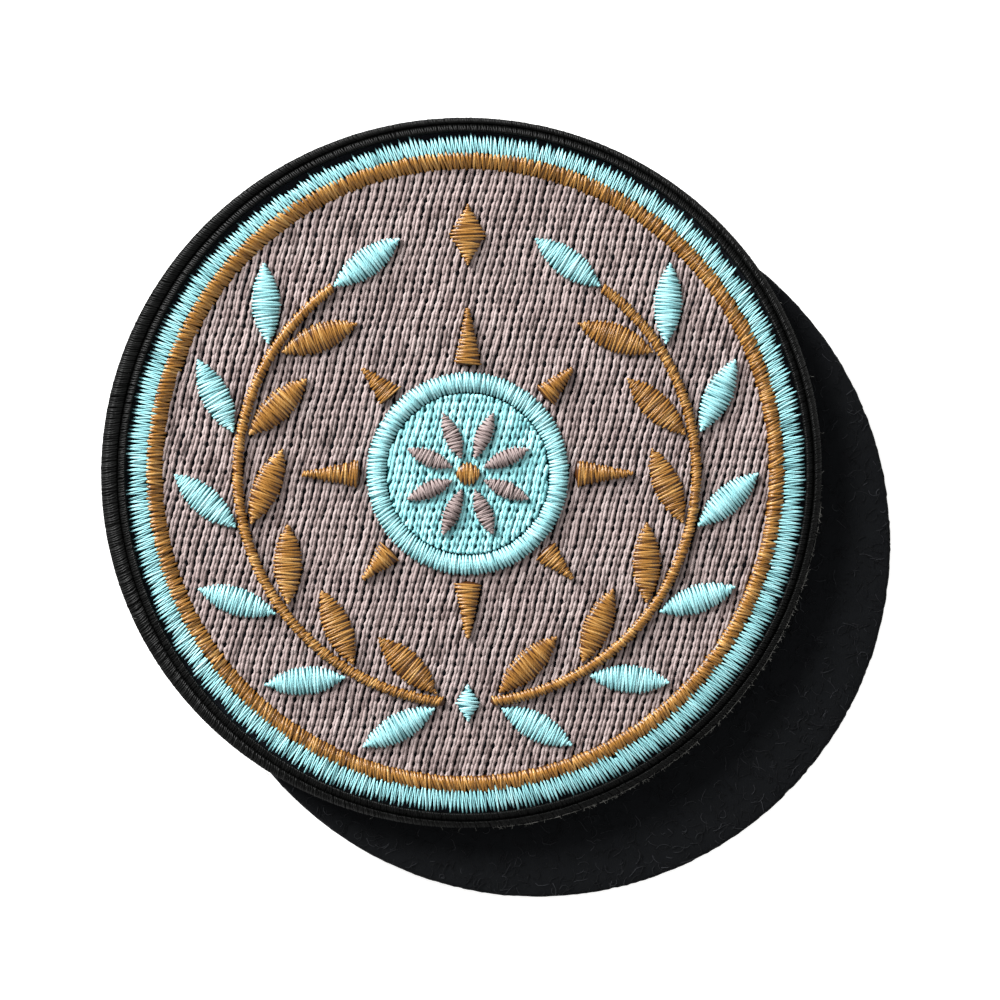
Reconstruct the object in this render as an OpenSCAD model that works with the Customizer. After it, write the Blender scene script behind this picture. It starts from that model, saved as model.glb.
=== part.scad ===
// Round embroidered hook-and-loop patch, lying face up on its own loop disc.
// Millimetres. The origin is the centre of the loop disc's back, +Z points up out of the patch's
// face and +Y is the top of the embroidered design.

/* [Patch] */
// Diameter across the merrowed border
patch_d = 80; // [78:0.5:84]
// Where the patch's centre lies, seen from the loop disc's centre
patch_shift = [-8.5, 8.3]; // [-12:0.1:12]
// Thickness of the twill cloth with its stiffener
twill_t = 0.7; // [0.5:0.1:1]
// Thickness of the taupe filling stitches
fill_t = 0.5; // [0.3:0.1:0.7]

/* [Loop disc] */
// Diameter of the loop disc
loop_d = 80; // [76:0.5:84]
// Thickness of its knitted ground
loop_ground_t = 0.5; // [0.3:0.1:0.8]
// Height of the loop pile
pile_t = 1.2; // [0.8:0.1:2]
// Rounding of the pile's cut rim
pile_rim = 0.5; // [0.2:0.1:0.7]

/* [Hook side] */
// Height of the hooks
hook_h = 0.95; // [0.7:0.05:1.3]
// Thickness of the woven tape that carries the hooks
tape_t = 0.4; // [0.3:0.05:0.6]
// Gap between the hooks' tips and the pile
grip_gap = 0.1; // [0.05:0.05:0.3]

/* [Border] */
// Thickness of the thread roll around the edge, seen from above
roll_w = 1.6; // [1.4:0.1:2]
// Width of the raised inner row of the border
ridge_w = 0.7; // [0.5:0.05:0.8]
// Height of the border above the twill
border_h = 0.95; // [0.8:0.05:1.2]
// Thickness of the border's wrap under the hook tape
wrap_t = 0.3; // [0.2:0.05:0.4]

/* [Rings] */
// Width of the cyan satin ring
cyan_w = 2.1; // [1.6:0.05:2.5]
// Height of the cyan satin ring above the twill
cyan_h = 0.75; // [0.6:0.05:0.9]
// Width of the copper satin ring
copper_w = 1.7; // [1.3:0.05:2.1]
// Height of the copper satin ring above the twill
copper_h = 1; // [0.8:0.05:1.2]

/* [Sun] */
// Radius of the sun's filled disc
sun_r = 9; // [8:0.1:9.4]
// Thickness of the disc's filling stitches
sun_t = 0.4; // [0.3:0.05:0.5]
// Width of the satin rim around the disc
rim_w = 2.4; // [1.8:0.1:2.6]
// Number of rays
ray_n = 8; // [4:2:8]
// Length of the long rays
ray_l = 6.4; // [5:0.1:6.8]
// Share of that length which every second ray has
short_ray = 0.7; // [0.6:0.05:0.9]
// Width of a ray at its foot
ray_w = 3.2; // [2.4:0.1:3.6]
// Number of petals on the disc
petal_n = 8; // [5:1:8]
// Length of a petal
petal_l = 5.6; // [4.6:0.1:5.8]
// Width of a petal
petal_w = 2.1; // [1.6:0.1:2.2]
// Radius of the button at the centre
button_r = 1.35; // [1:0.05:1.5]

/* [Wreath] */
// Radius of the wreath's two stems
stem_r = 25.8; // [25.2:0.1:26.2]
// Width of a stem
stem_w = 1.25; // [1:0.05:1.4]
// Pairs of leaves on each stem
pair_n = 6; // [4:1:6]
// Length of a leaf
leaf_l = 9.2; // [7.6:0.1:9.4]
// Width of a leaf
leaf_w = 3.3; // [2.6:0.1:3.5]
// Angle between a leaf and its stem
leaf_lean = 36; // [34:1:38]
// Length and width of the lozenge between the stems' tips
top_lozenge = [7, 4.4]; // [3:0.1:7.4]
// Length and width of the lozenge between the stems' feet
foot_lozenge = [4.4, 3]; // [2:0.1:4.6]

/* [Hidden] */
$fn = 96;

patch_r = patch_d / 2;
loop_r = loop_d / 2;

// Heights of the layers, from the bottom up
pile_z = loop_ground_t;
hooks_z = pile_z + pile_t + grip_gap;
tape_z = hooks_z + hook_h;
twill_z = tape_z + tape_t;
face_z = twill_z + twill_t;
fill_z = face_z + fill_t;
disc_z = fill_z + sun_t;

// Radii of the border and the rings, from the edge inward
thread_gap = 0.05;
bare_gap = 0.45;
roll_r = roll_w / 2;
slot_r = patch_r - roll_w;
cloth_r = slot_r - 0.1;
ridge_mid_r = slot_r + ridge_w / 2;
wrap_in_r = slot_r - 1;
hooks_r = wrap_in_r - 0.2;
cyan_out_r = slot_r - bare_gap;
cyan_in_r = cyan_out_r - cyan_w;
copper_out_r = cyan_in_r - thread_gap;
copper_in_r = copper_out_r - copper_w;
fill_r = copper_in_r - thread_gap;

// Heights of the satin shapes above what they are stitched on, and of their outer edges
edge_h = 0.2;
rim_h = 0.7;
ray_h = 0.6;
petal_h = 0.6;
button_h = 0.65;
stem_h = 0.55;
leaf_h = 0.6;
lozenge_h = 0.6;

// Sun: where the rim lies, and where the rays and petals start
rim_mid_r = sun_r + thread_gap + rim_w / 2;
ray_start = rim_mid_r + rim_w / 2 + 0.8;
ray_tip_w = 0.5;
petal_start = button_r + 0.5;

// Wreath: angles along a stem are counted from its foot, which is beside the bottom of the circle
stem_from = 6;
stem_to = 144;
pair_first = 8;
pair_step = 138 / pair_n;
leaf_gap = 0.2;

SIDES = ["right", "left"];
ROWS = ["outer", "inner"];
LEAVES = [for (side = SIDES) for (row = ROWS) for (i = [1:pair_n]) [side, row, i]];
function leaf_name(leaf) = str("leaf_", leaf[0], "_", leaf[1], "_", leaf[2]);

// Radius of the arc that crowns a satin shape of width w and height h
function crown_r(w, h) = (pow(w / 2, 2) + pow(h - edge_h, 2)) / (2 * (h - edge_h));

module on_patch(z) {
    translate([patch_shift.x, patch_shift.y, z]) children();
}

// Cross-section of a satin column: upright edges and a crowned top
module satin_profile(w, h) {
    intersection() {
        translate([-w / 2, 0]) square([w, h]);
        translate([0, h - crown_r(w, h)]) circle(r = crown_r(w, h));
    }
}

// A satin shape from the flat outline given as its child, crowned across its width; X is its length
module satin_shape(l, w, h) {
    intersection() {
        linear_extrude(h) children();
        translate([0, 0, h - crown_r(w, h)])
            rotate([0, 90, 0]) cylinder(r = crown_r(w, h), h = l + 2, center = true);
    }
}

// Outline with two pointed ends, bounded by two arcs
module leaf_outline(l, w) {
    arc_r = (l * l + w * w) / (4 * w);
    intersection() {
        translate([0, arc_r - w / 2]) circle(r = arc_r);
        translate([0, w / 2 - arc_r]) circle(r = arc_r);
    }
}

module satin_leaf(l, w, h) {
    satin_shape(l, w, h) leaf_outline(l, w);
}

module satin_lozenge(size) {
    satin_shape(size.x, size.y, lozenge_h)
        polygon([[-size.x / 2, 0], [0, -size.y / 2], [size.x / 2, 0], [0, size.y / 2]]);
}

module loop_ground() {
    color([0.05, 0.05, 0.06]) cylinder(r = loop_r, h = loop_ground_t);
}

module loop_pile() {
    rim = min(pile_rim, pile_t / 2);
    color([0.09, 0.09, 0.11]) translate([0, 0, pile_z]) rotate_extrude() {
        square([loop_r - rim, pile_t]);
        square([loop_r, pile_t - rim]);
        translate([loop_r - rim, pile_t - rim]) circle(r = rim);
    }
}

// The space that the hooks fill between their tape and the pile
module hook_field() {
    color([0.12, 0.12, 0.13]) on_patch(hooks_z) cylinder(r = hooks_r, h = hook_h);
}

module hook_tape() {
    color([0.07, 0.07, 0.08]) on_patch(tape_z) cylinder(r = cloth_r, h = tape_t);
}

module twill_base() {
    color([0.08, 0.09, 0.12]) on_patch(twill_z) cylinder(r = cloth_r, h = twill_t);
}

module ground_fill() {
    color([0.55, 0.48, 0.47]) on_patch(face_z) cylinder(r = fill_r, h = fill_t);
}

module copper_ring() {
    color([0.72, 0.47, 0.2]) on_patch(face_z)
        rotate_extrude() translate([(copper_in_r + copper_out_r) / 2, 0])
            satin_profile(copper_w, copper_h);
}

module cyan_ring() {
    color([0.6, 0.88, 0.9]) on_patch(face_z)
        rotate_extrude() translate([(cyan_in_r + cyan_out_r) / 2, 0])
            satin_profile(cyan_w, cyan_h);
}

// Thread roll around the edge, with an inner raised row on top and a flat wrap underneath.
// Its slot holds the edges of the twill and of the hook tape.
module merrowed_border() {
    top_z = face_z + border_h;
    wrap_z = tape_z - wrap_t - thread_gap;
    roll_mid = patch_r - roll_r;
    color([0.1, 0.1, 0.11]) on_patch(0) rotate_extrude() {
        translate([roll_mid, top_z - roll_r]) circle(r = roll_r);
        translate([roll_mid, wrap_z + roll_r]) circle(r = roll_r);
        translate([slot_r, wrap_z + roll_r]) square([roll_w, top_z - wrap_z - roll_w]);
        translate([ridge_mid_r, top_z - ridge_w / 2]) circle(r = ridge_w / 2);
        translate([wrap_in_r, wrap_z]) square([roll_mid - wrap_in_r, wrap_t]);
    }
}

module sun_disc() {
    color([0.6, 0.88, 0.9]) on_patch(fill_z) cylinder(r = sun_r, h = sun_t);
}

module sun_rim() {
    color([0.6, 0.88, 0.9]) on_patch(fill_z)
        rotate_extrude() translate([rim_mid_r, 0]) satin_profile(rim_w, rim_h);
}

// Low dome at the centre of the sun
module sun_button() {
    dome_r = crown_r(2 * button_r, button_h);
    color([0.72, 0.47, 0.2]) on_patch(disc_z) intersection() {
        cylinder(r = button_r, h = button_h);
        translate([0, 0, button_h - dome_r]) sphere(r = dome_r);
    }
}

// Ray number i, counted anticlockwise; odd ones are long
module sun_ray(i) {
    l = ray_l * (i % 2 == 1 ? 1 : short_ray);
    color([0.72, 0.47, 0.2]) on_patch(fill_z) rotate((i - 1) * 360 / ray_n + 90)
        translate([ray_start + l / 2, 0]) satin_shape(l, ray_w, ray_h)
            polygon([[-l / 2, -ray_w / 2], [l / 2, -ray_tip_w / 2],
                     [l / 2, ray_tip_w / 2], [-l / 2, ray_w / 2]]);
}

module sun_petal(i) {
    color([0.55, 0.48, 0.47]) on_patch(disc_z) rotate((i - 0.5) * 360 / petal_n + 90)
        translate([petal_start + petal_l / 2, 0]) satin_leaf(petal_l, petal_w, petal_h);
}

// Places its child on one branch of the wreath, at an angle along the stem
module on_branch(side, angle) {
    on_patch(fill_z) mirror([side == "left" ? 1 : 0, 0, 0]) rotate(angle - 90) children();
}

module stem(side) {
    color([0.72, 0.47, 0.2]) on_branch(side, stem_from)
        rotate_extrude(angle = stem_to - stem_from) translate([stem_r, 0])
            satin_profile(stem_w, stem_h);
}

module tip_leaf(side) {
    color([0.6, 0.88, 0.9]) on_branch(side, stem_to)
        translate([stem_r, leaf_gap + leaf_l / 2]) rotate(90) satin_leaf(leaf_l, leaf_w, leaf_h);
}

// A leaf of the outer or inner row, with its foot beside the stem
module leaf(side, row, i) {
    out = row == "outer" ? 1 : -1;
    foot_r = stem_r + out * (stem_w / 2 + leaf_gap);
    color(row == "outer" ? [0.6, 0.88, 0.9] : [0.72, 0.47, 0.2])
        on_branch(side, pair_first + (i - 1) * pair_step)
            translate([foot_r, 0]) rotate(90 - out * leaf_lean)
                translate([leaf_l / 2, 0]) satin_leaf(leaf_l, leaf_w, leaf_h);
}

module lozenge_top() {
    color([0.72, 0.47, 0.2]) on_patch(fill_z)
        translate([0, stem_r + 1]) rotate(90) satin_lozenge(top_lozenge);
}

module lozenge_foot() {
    color([0.6, 0.88, 0.9]) on_patch(fill_z)
        translate([0, -stem_r]) rotate(90) satin_lozenge(foot_lozenge);
}

loop_ground();
loop_pile();
hook_field();
hook_tape();
twill_base();
ground_fill();
copper_ring();
cyan_ring();
merrowed_border();
sun_disc();
sun_rim();
sun_button();
lozenge_top();
lozenge_foot();
for (i = [1:ray_n]) sun_ray(i);
for (i = [1:petal_n]) sun_petal(i);
for (side = SIDES) stem(side);
for (side = SIDES) tip_leaf(side);
for (it = LEAVES) leaf(it[0], it[1], it[2]);
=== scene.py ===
"""Looks of a round embroidered hook-and-loop patch on its loop disc. Lengths are in millimetres."""
import math

import bpy
import numpy as np
from mathutils import Matrix, Vector


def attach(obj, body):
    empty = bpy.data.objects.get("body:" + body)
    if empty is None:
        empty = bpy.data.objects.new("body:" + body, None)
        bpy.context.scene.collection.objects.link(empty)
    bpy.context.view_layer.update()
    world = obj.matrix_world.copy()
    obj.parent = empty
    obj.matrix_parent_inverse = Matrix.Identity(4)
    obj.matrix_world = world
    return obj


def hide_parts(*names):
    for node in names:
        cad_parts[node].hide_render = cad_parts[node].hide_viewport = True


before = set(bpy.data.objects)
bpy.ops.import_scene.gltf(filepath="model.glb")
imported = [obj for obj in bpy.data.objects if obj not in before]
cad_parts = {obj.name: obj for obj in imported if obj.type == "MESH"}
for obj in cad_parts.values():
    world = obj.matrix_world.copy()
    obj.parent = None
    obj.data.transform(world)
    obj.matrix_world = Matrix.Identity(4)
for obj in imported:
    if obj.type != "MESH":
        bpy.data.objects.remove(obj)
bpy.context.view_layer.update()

MM = 0.001
UP = np.array([0.0, 0.0, 1.0])
FULL_TURN = 2 * math.pi

# Threads
THREAD_HALF_WIDTH = 0.145
THREAD_HALF_HEIGHT = 0.085
SATIN_PITCH = 0.42
RING_PITCH = 0.43
PLY_LENGTH = 0.8
TIP_LENGTH = 0.06
CELL_MARGIN = 0.06
# Padding and underlay under the stitches take a tint below any thread's: painted shade, their darkest
# colour, in the gaps and needle holes between stitches
PAINTED_SHADE_TINT = -1.0

# Filling stitches: pair is the width of two threads, hole the way from one needle hole to the next,
# shift how far the holes move on from pair to pair, and lean the threads' angle in degrees
FILL_GRID = {"lean": 13.8, "pair": 0.913, "hole": 1.049, "shift": 0.205}
TAUPE_FILL = FILL_GRID | {"slot": 0.068, "wave": 0.06, "dip": 0.07, "thick": 0.074, "rough": 0.034}
CYAN_FILL = FILL_GRID | {"slot": 0.018, "wave": 0.085, "dip": 0.07, "thick": 0.036, "rough": 0.018}
SHORTEST_STITCH = 0.3
HIDDEN_MARGIN = 0.3
UNDERLAY_PITCH = 0.5
UNDERLAY_DEPTH = 0.34

# Border, in rows of how far in from its edge and how far below its top a point lies
EDGE_INSET = 0.06
ROLL_OVER = [(0.72, 0.62), (0.66, 0.38), (0.54, 0.3), (0.4, 0.32), (0.04, 0.56), (0.0, 1.05)]
RIDGE_OVER = [(1.6, 0.14), (1.5, 0.05), (1.36, 0.08), (1.0, 0.33), (0.74, 0.52)]
CORE_OVER = [(1.45, 0.26), (1.12, 0.4), (0.8, 0.56), (0.68, 0.6), (0.46, 0.5), (0.16, 0.75)]
# The same with how far above its underside
ROLL_UNDER = [(0.03, 0.55), (0.45, 0.13), (1.4, 0.1), (2.4, 0.12)]
CORE_UNDER = [(0.15, 0.5), (0.6, 0.25)]
RIDGE_FOOT = 1.64
RIDGE_MIDDLE = 1.2
WRAP_PITCH = 0.25
WRAP_JITTER = 0.025
WRAP_HALF_WIDTH = 0.16
WRAP_HALF_HEIGHT = 0.025
CORE_SEGMENTS = 240

# Cloths and pile
CLOTH_ROWS = 81
CLOTH_COLUMNS = 20
KNIT_RIBS = 60
RIB_DEPTH = 0.08
BED_SINK = 0.16
BED_SEGMENTS = 480
FIBRE_COUNT = 2600
FIBRE_TRIES = 9000

# Hooks
HOOK_ROW_STEP = 2.0
HOOK_STEP = 1.7
HOOK_OUT = np.array([0.0, 0.02, 0.24, 0.46, 0.52])
HOOK_DOWN = np.array([0.0, 0.72, 0.94, 0.84, 0.6])

# Stray hairs, by their levels over the pile and past it, and the loose thread, by its angles and level
HAIR_COUNT = 260
LOW_HAIRS = (2.3, 3.0)
HIGH_HAIRS = (3.0, 4.5)
LOOSE_FROM = -1.5
LOOSE_TO = -0.1
LOOSE_LEVEL = 3.8
TICK_COUNT = 180

# Camera and light: places of lamps in metres, of the view's centre in millimetres
CAMERA_DISTANCE = 0.45
LENS = 144
VIEW_TILT = 4.5
VIEW_FROM = (-0.85, 0.5)
VIEW_CENTRE = (-4.85, 5.33, 4.0)
KEY_LIGHT = {"place": (-0.67, 0.64, 0.32), "size": 0.45, "power": 34}
FILL_LIGHT = {"place": (0.6, -0.3, 0.9), "size": 1.0, "power": 1.5}
ROOM_LIGHT = 0.5
FLOOR_SIZE = 3
FLOOR_GLOW = 0.68


def unit(vectors):
    return vectors / np.linalg.norm(vectors, axis=-1, keepdims=True)


def compass(angle):
    """Unit vectors in the plane at these angles."""
    return np.stack([np.cos(angle), np.sin(angle)], axis=-1)


def raised(flat, z):
    """Points in the plane with z, their height, as a third value."""
    return np.concatenate([flat, np.broadcast_to(z, flat.shape[:-1])[..., None]], axis=-1)


def tints(rng, count, spread=0.22):
    """A shade for each strand, from 0 for the darkest to 1 for the lightest."""
    return np.clip(rng.normal(0.5, spread, count), 0, 1)


def corners(node):
    """Vertices of a CAD node in millimetres."""
    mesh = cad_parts[node].data
    found = np.empty(len(mesh.vertices) * 3)
    mesh.vertices.foreach_get("co", found)
    return found.reshape(-1, 3) / MM


def extent(node):
    """Centre, radius, lowest and highest z of a round CAD node."""
    low = corners(node).min(0)
    high = corners(node).max(0)
    centre = (low + high) / 2
    return centre[:2], (high[0] - low[0]) / 2, low[2], high[2]


# Where the frame puts the layers and rings
PATCH, BORDER_R, WRAP_Z, BORDER_TOP = extent("merrowed_border")
EDGE_R = BORDER_R - EDGE_INSET
_, CLOTH_R, TAPE_Z, TWILL_Z = extent("hook_tape")
FACE_Z = extent("twill_base")[3]
_, FILL_R, _, FILL_Z = extent("ground_fill")
_, DISC_R, _, DISC_Z = extent("sun_disc")
_, HOOK_R, HOOK_Z, _ = extent("hook_field")
_, LOOP_R, _, GROUND_TOP = extent("loop_ground")
PILE_TOP = extent("loop_pile")[3]
_, COPPER_OUT, _, COPPER_TOP = extent("copper_ring")
CYAN_TOP = extent("cyan_ring")[3]


def swell(angle, centre, width):
    """A bump of height 1 at this angle in degrees, that fades over its width."""
    away = (np.degrees(angle) - centre + 180) % 360 - 180
    return np.exp(-(away / width) ** 2)


def border_reach(angle):
    """How far the border's roll stands outside its CAD radius: oval, wider to the left and below."""
    oval = 0.45 * np.cos(2 * (angle - math.radians(10))) + 0.52 * np.cos(angle - math.radians(157))
    return 0.2 + oval + 0.63 * swell(angle, -68, 38)


def tooth_reach(angle):
    """How far the cyan teeth end from the CAD ring's edge: longer to the lower right and the left."""
    longer = 0.23 * np.cos(angle + math.radians(45)) + 0.34 * swell(angle, 168, 30)
    shorter = 0.28 * swell(angle, 126, 15) + 0.15 * swell(angle, 227, 14) + 0.17 * swell(angle, 45, 35)
    return 0.28 + longer - shorter


def put(name, data):
    """A new object in the scene."""
    made = bpy.data.objects.new(name, data)
    bpy.context.scene.collection.objects.link(made)
    return made


def mesh_piece(name, points, blocks, material, nodes=(), smooth=True):
    """A piece that rides on the part, from points in millimetres and blocks of equal-sided faces."""
    mesh = bpy.data.meshes.new(name)
    sizes = np.concatenate([np.full(len(b), b.shape[1]) for b in blocks])
    mesh.vertices.add(len(points))
    mesh.vertices.foreach_set("co", (points * MM).astype(np.float32).ravel())
    mesh.loops.add(int(sizes.sum()))
    mesh.loops.foreach_set("vertex_index", np.concatenate([b.ravel() for b in blocks]).astype(np.int32))
    mesh.polygons.add(len(sizes))
    mesh.polygons.foreach_set("loop_start", (np.cumsum(sizes) - sizes).astype(np.int32))
    mesh.polygons.foreach_set("use_smooth", np.full(len(sizes), smooth))
    mesh.update(calc_edges=True)
    mesh.materials.append(material)
    piece = put(name, mesh)
    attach(piece, "root")
    if nodes:
        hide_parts(*nodes)
    return piece


def grid(rows, columns):
    """Row and column numbers of all places in a grid."""
    return np.meshgrid(np.arange(rows), np.arange(columns), indexing="ij")


def tube_faces(rings, sides):
    """Walls between a tube's rings of points, and the fans to its last two points that close it."""
    ring, corner = grid(rings - 1, sides)
    after = (corner + 1) % sides
    loop = [(ring, corner), (ring + 1, corner), (ring + 1, after), (ring, after)]
    walls = np.stack([r * sides + c for r, c in loop], axis=-1).reshape(-1, 4)
    one = np.arange(sides)
    two = (one + 1) % sides
    last = (rings - 1) * sides
    tip = rings * sides
    start = np.stack([np.full(sides, tip), one, two], axis=-1)
    end = np.stack([np.full(sides, tip + 1), last + two, last + one], axis=-1)
    return walls, np.concatenate([start, end])


def tube_places(rings, sides):
    """Texture places of a tube's walls and fans, from 0 to 1 along it and round it."""
    ring, corner = grid(rings - 1, sides)
    loop = [(ring, corner), (ring + 1, corner), (ring + 1, corner + 1), (ring, corner + 1)]
    walls = np.stack([np.stack([r / (rings - 1), c / sides], axis=-1) for r, c in loop], axis=2)
    one = np.arange(sides)
    start = np.stack([one + 0.5, one, one + 1], axis=-1)
    end = np.stack([one + 0.5, one + 1, one], axis=-1)
    round_it = np.concatenate([start, end]) / sides
    along_it = np.broadcast_to(np.repeat([0.0, 1.0], sides)[:, None], round_it.shape)
    return walls.reshape(-1, 4, 2), np.stack([along_it, round_it], axis=-1)


class Yarn:
    """Closed strands of thread, gathered into one mesh."""

    def __init__(self):
        self.points = []
        self.faces = [], []
        self.cells = [], []
        self.facts = []
        self.strands = 0
        self.size = 0

    def add(self, paths, half_w, half_h, tint, sides=5, side=None, floor=None):
        """One strand along each row of paths (n, k, 3). Half sizes are numbers or (n, k), tint is (n)."""
        n, k, _ = paths.shape
        half_w = np.broadcast_to(half_w, (n, k))
        half_h = np.broadcast_to(half_h, (n, k))
        along = unit(np.gradient(paths, axis=1))
        across = unit(np.cross(along, UP)) if side is None else np.broadcast_to(side, paths.shape)
        lift = np.cross(across, along)
        # One corner underneath, and the others over the thread's sides and top
        turn = np.radians(np.append(-90, np.linspace(-15, 195, sides - 1)))
        rings = (
            paths[:, :, None]
            + across[:, :, None] * (half_w[..., None] * np.cos(turn))[..., None]
            + lift[:, :, None] * (half_h[..., None] * np.sin(turn))[..., None]
        )
        if floor is not None:
            rings[..., 2] = np.maximum(rings[..., 2], floor)
        step = TIP_LENGTH * half_h[:, [0, -1], None] / THREAD_HALF_HEIGHT
        tips = paths[:, [0, -1]] + along[:, [0, -1]] * step * np.array([-1, 1])[None, :, None]
        self.points.append(np.concatenate([rings.reshape(n, -1, 3), tips], axis=1).reshape(-1, 3))
        each = k * sides + 2
        first = self.size + each * np.arange(n)[:, None, None]
        for kept, faces in zip(self.faces, tube_faces(k, sides)):
            kept.append((first + faces).reshape(-1, faces.shape[1]))
        for kept, places in zip(self.cells, tube_places(k, sides)):
            kept.append(self._numbered(places, n))
        self._add_facts(rings, tint)
        self.size += n * each
        self.strands += n

    def _add_facts(self, rings, tint):
        """Each point's way along its strand, turn round it, and shade."""
        n, k, sides, _ = rings.shape
        length = np.linalg.norm(np.diff(rings.mean(2), axis=1), axis=-1)
        run = np.concatenate([np.zeros((n, 1)), np.cumsum(length, axis=1)], axis=1)
        facts = np.empty((n, k * sides + 2, 3))
        facts[:, :-2, 0] = np.repeat(run, sides, axis=1)
        facts[:, -2, 0] = 0
        facts[:, -1, 0] = run[:, -1]
        facts[:, :-2, 1] = np.tile(np.arange(sides) / sides, k)
        facts[:, -2:, 1] = 0.5
        facts[..., 2] = np.asarray(tint)[:, None]
        self.facts.append(facts.reshape(-1, 3))

    def _numbered(self, places, n):
        """The texture places once for each of n strands, each followed by its strand's number."""
        number = (self.strands + np.arange(n))[:, None, None]
        return raised(np.broadcast_to(places, (n, *places.shape)), number).reshape(-1, 3)

    def piece(self, name, material, slot, nodes=()):
        """All strands as one piece, with their facts as attributes and a texture square for each."""
        blocks = [np.concatenate(faces) for faces in self.faces]
        made = mesh_piece(name, np.concatenate(self.points), blocks, material, nodes)
        facts = np.concatenate(self.facts)
        for column, fact in enumerate(("run", "turn", "tint")):
            field = made.data.attributes.new(fact, "FLOAT", "POINT")
            field.data.foreach_set("value", facts[:, column].astype(np.float32))
        cells = np.concatenate(self.cells[0] + self.cells[1])
        across = math.ceil(math.sqrt(self.strands))
        column, row = cells[:, 2] % across, cells[:, 2] // across
        spot = CELL_MARGIN + (1 - 2 * CELL_MARGIN) * cells[:, :2]
        places = np.stack([column + spot[:, 0], row + spot[:, 1]], axis=-1) / across
        layer = made.data.uv_layers.new(name="OFBake")
        layer.data.foreach_set("uv", places.astype(np.float32).ravel())


class Column:
    """A satin-stitched shape: x runs along its axis, y across it, and half_width gives its edge at x."""

    closed = False

    def __init__(self, length, half_width):
        self.length = length
        self.half_width = half_width

    def covers(self, points, margin):
        x, y = self.local(points)
        inside = (x > margin) & (x < self.length - margin)
        return inside & (np.abs(y) < self.half_width(np.clip(x, 0, self.length)) - margin)

    def held_inside(self, x):
        """Places along the axis, kept off the shape's two ends."""
        inset = 0.02
        return np.clip(x, inset, self.length - inset)


class Straight(Column):
    """Satin shape with a straight axis from its foot to its tip."""

    def __init__(self, foot, tip, half_width):
        super().__init__(float(np.linalg.norm(tip - foot)), half_width)
        self.foot = foot
        self.ahead = unit(tip - foot)
        self.left = np.array([-self.ahead[1], self.ahead[0]])

    def place(self, x, y):
        return self.foot + x[..., None] * self.ahead + y[..., None] * self.left

    def local(self, points):
        away = points - self.foot
        return away @ self.ahead, away @ self.left


class Bent(Column):
    """Satin shape along an arc of the patch; y points outward."""

    def __init__(self, radius, start, end, width):
        super().__init__(radius * abs(end - start), lambda x: np.full(np.shape(x), width / 2))
        self.radius = radius
        self.start = start
        self.way = math.copysign(1, end - start)
        self.closed = math.isclose(abs(end - start), FULL_TURN)

    def angle(self, x):
        return self.start + self.way * x / self.radius

    def place(self, x, y):
        return PATCH + (self.radius + y)[..., None] * compass(self.angle(x))

    def local(self, points):
        away = points - PATCH
        angle = self.way * (np.arctan2(away[:, 1], away[:, 0]) - self.start)
        return (angle % FULL_TURN) * self.radius, np.linalg.norm(away, axis=1) - self.radius


def needle_points(rng, column, pitch, jitter):
    """Where along the axis the thread turns at the right edge, and half a pitch on at the left edge."""
    count = max(3, round(column.length / pitch))
    pitch = column.length / count
    right = (np.arange(count) + 0.25) * pitch + rng.normal(0, jitter, count)
    left = (np.arange(count) + 0.75) * pitch + rng.normal(0, jitter, count)
    if column.closed:
        return np.append(right, right[0] + column.length), left
    return column.held_inside(right), column.held_inside(left)


def varied(column, rule, x):
    """What a rule gives at places along the axis: one number, or a function's results."""
    return rule(column, x) if callable(rule) else np.full(np.shape(x), rule)


def crossings(rng, column, pitch, jitter, ragged, slant, reach):
    """The thread's ways across a shape: start and end along the axis, the side each starts on, and
    how far its start and its end reach past the edge. Slant shifts the left edge's ends along the axis."""
    right, left = needle_points(rng, column, pitch, jitter)
    left = left + varied(column, slant, left)
    if not column.closed:
        left = column.held_inside(left)
    right_out = rng.normal(0, ragged, len(right))
    left_out = rng.normal(0, ragged, len(left))
    if reach is not None:
        left_out = left_out + reach(column.angle(left))
    if column.closed:
        right_out[-1] = right_out[0]
    over = len(left)
    back = len(right) - 1
    start_x = np.concatenate([right[:over], left[:back]])
    end_x = np.concatenate([left, right[1:]])
    start_side = np.concatenate([-np.ones(over), np.ones(back)])
    start_out = np.concatenate([right_out[:over], left_out[:back]])
    end_out = np.concatenate([left_out, right_out[1:]])
    return start_x, end_x, start_side, start_out, end_out


def crowned(share, top_share, crown, lift):
    """Height across a shape, 1 at its crest and as much as lift says at its right and left edges.

    Shares of the way across go from -1 at the right edge to 1 at the left one."""
    away = np.abs((share - top_share) / (1 - top_share * np.sign(share - top_share)))
    edge_lift = np.where(share < top_share, lift[0], lift[1])
    return edge_lift + (1 - edge_lift) * (1 - away**crown)


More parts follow.
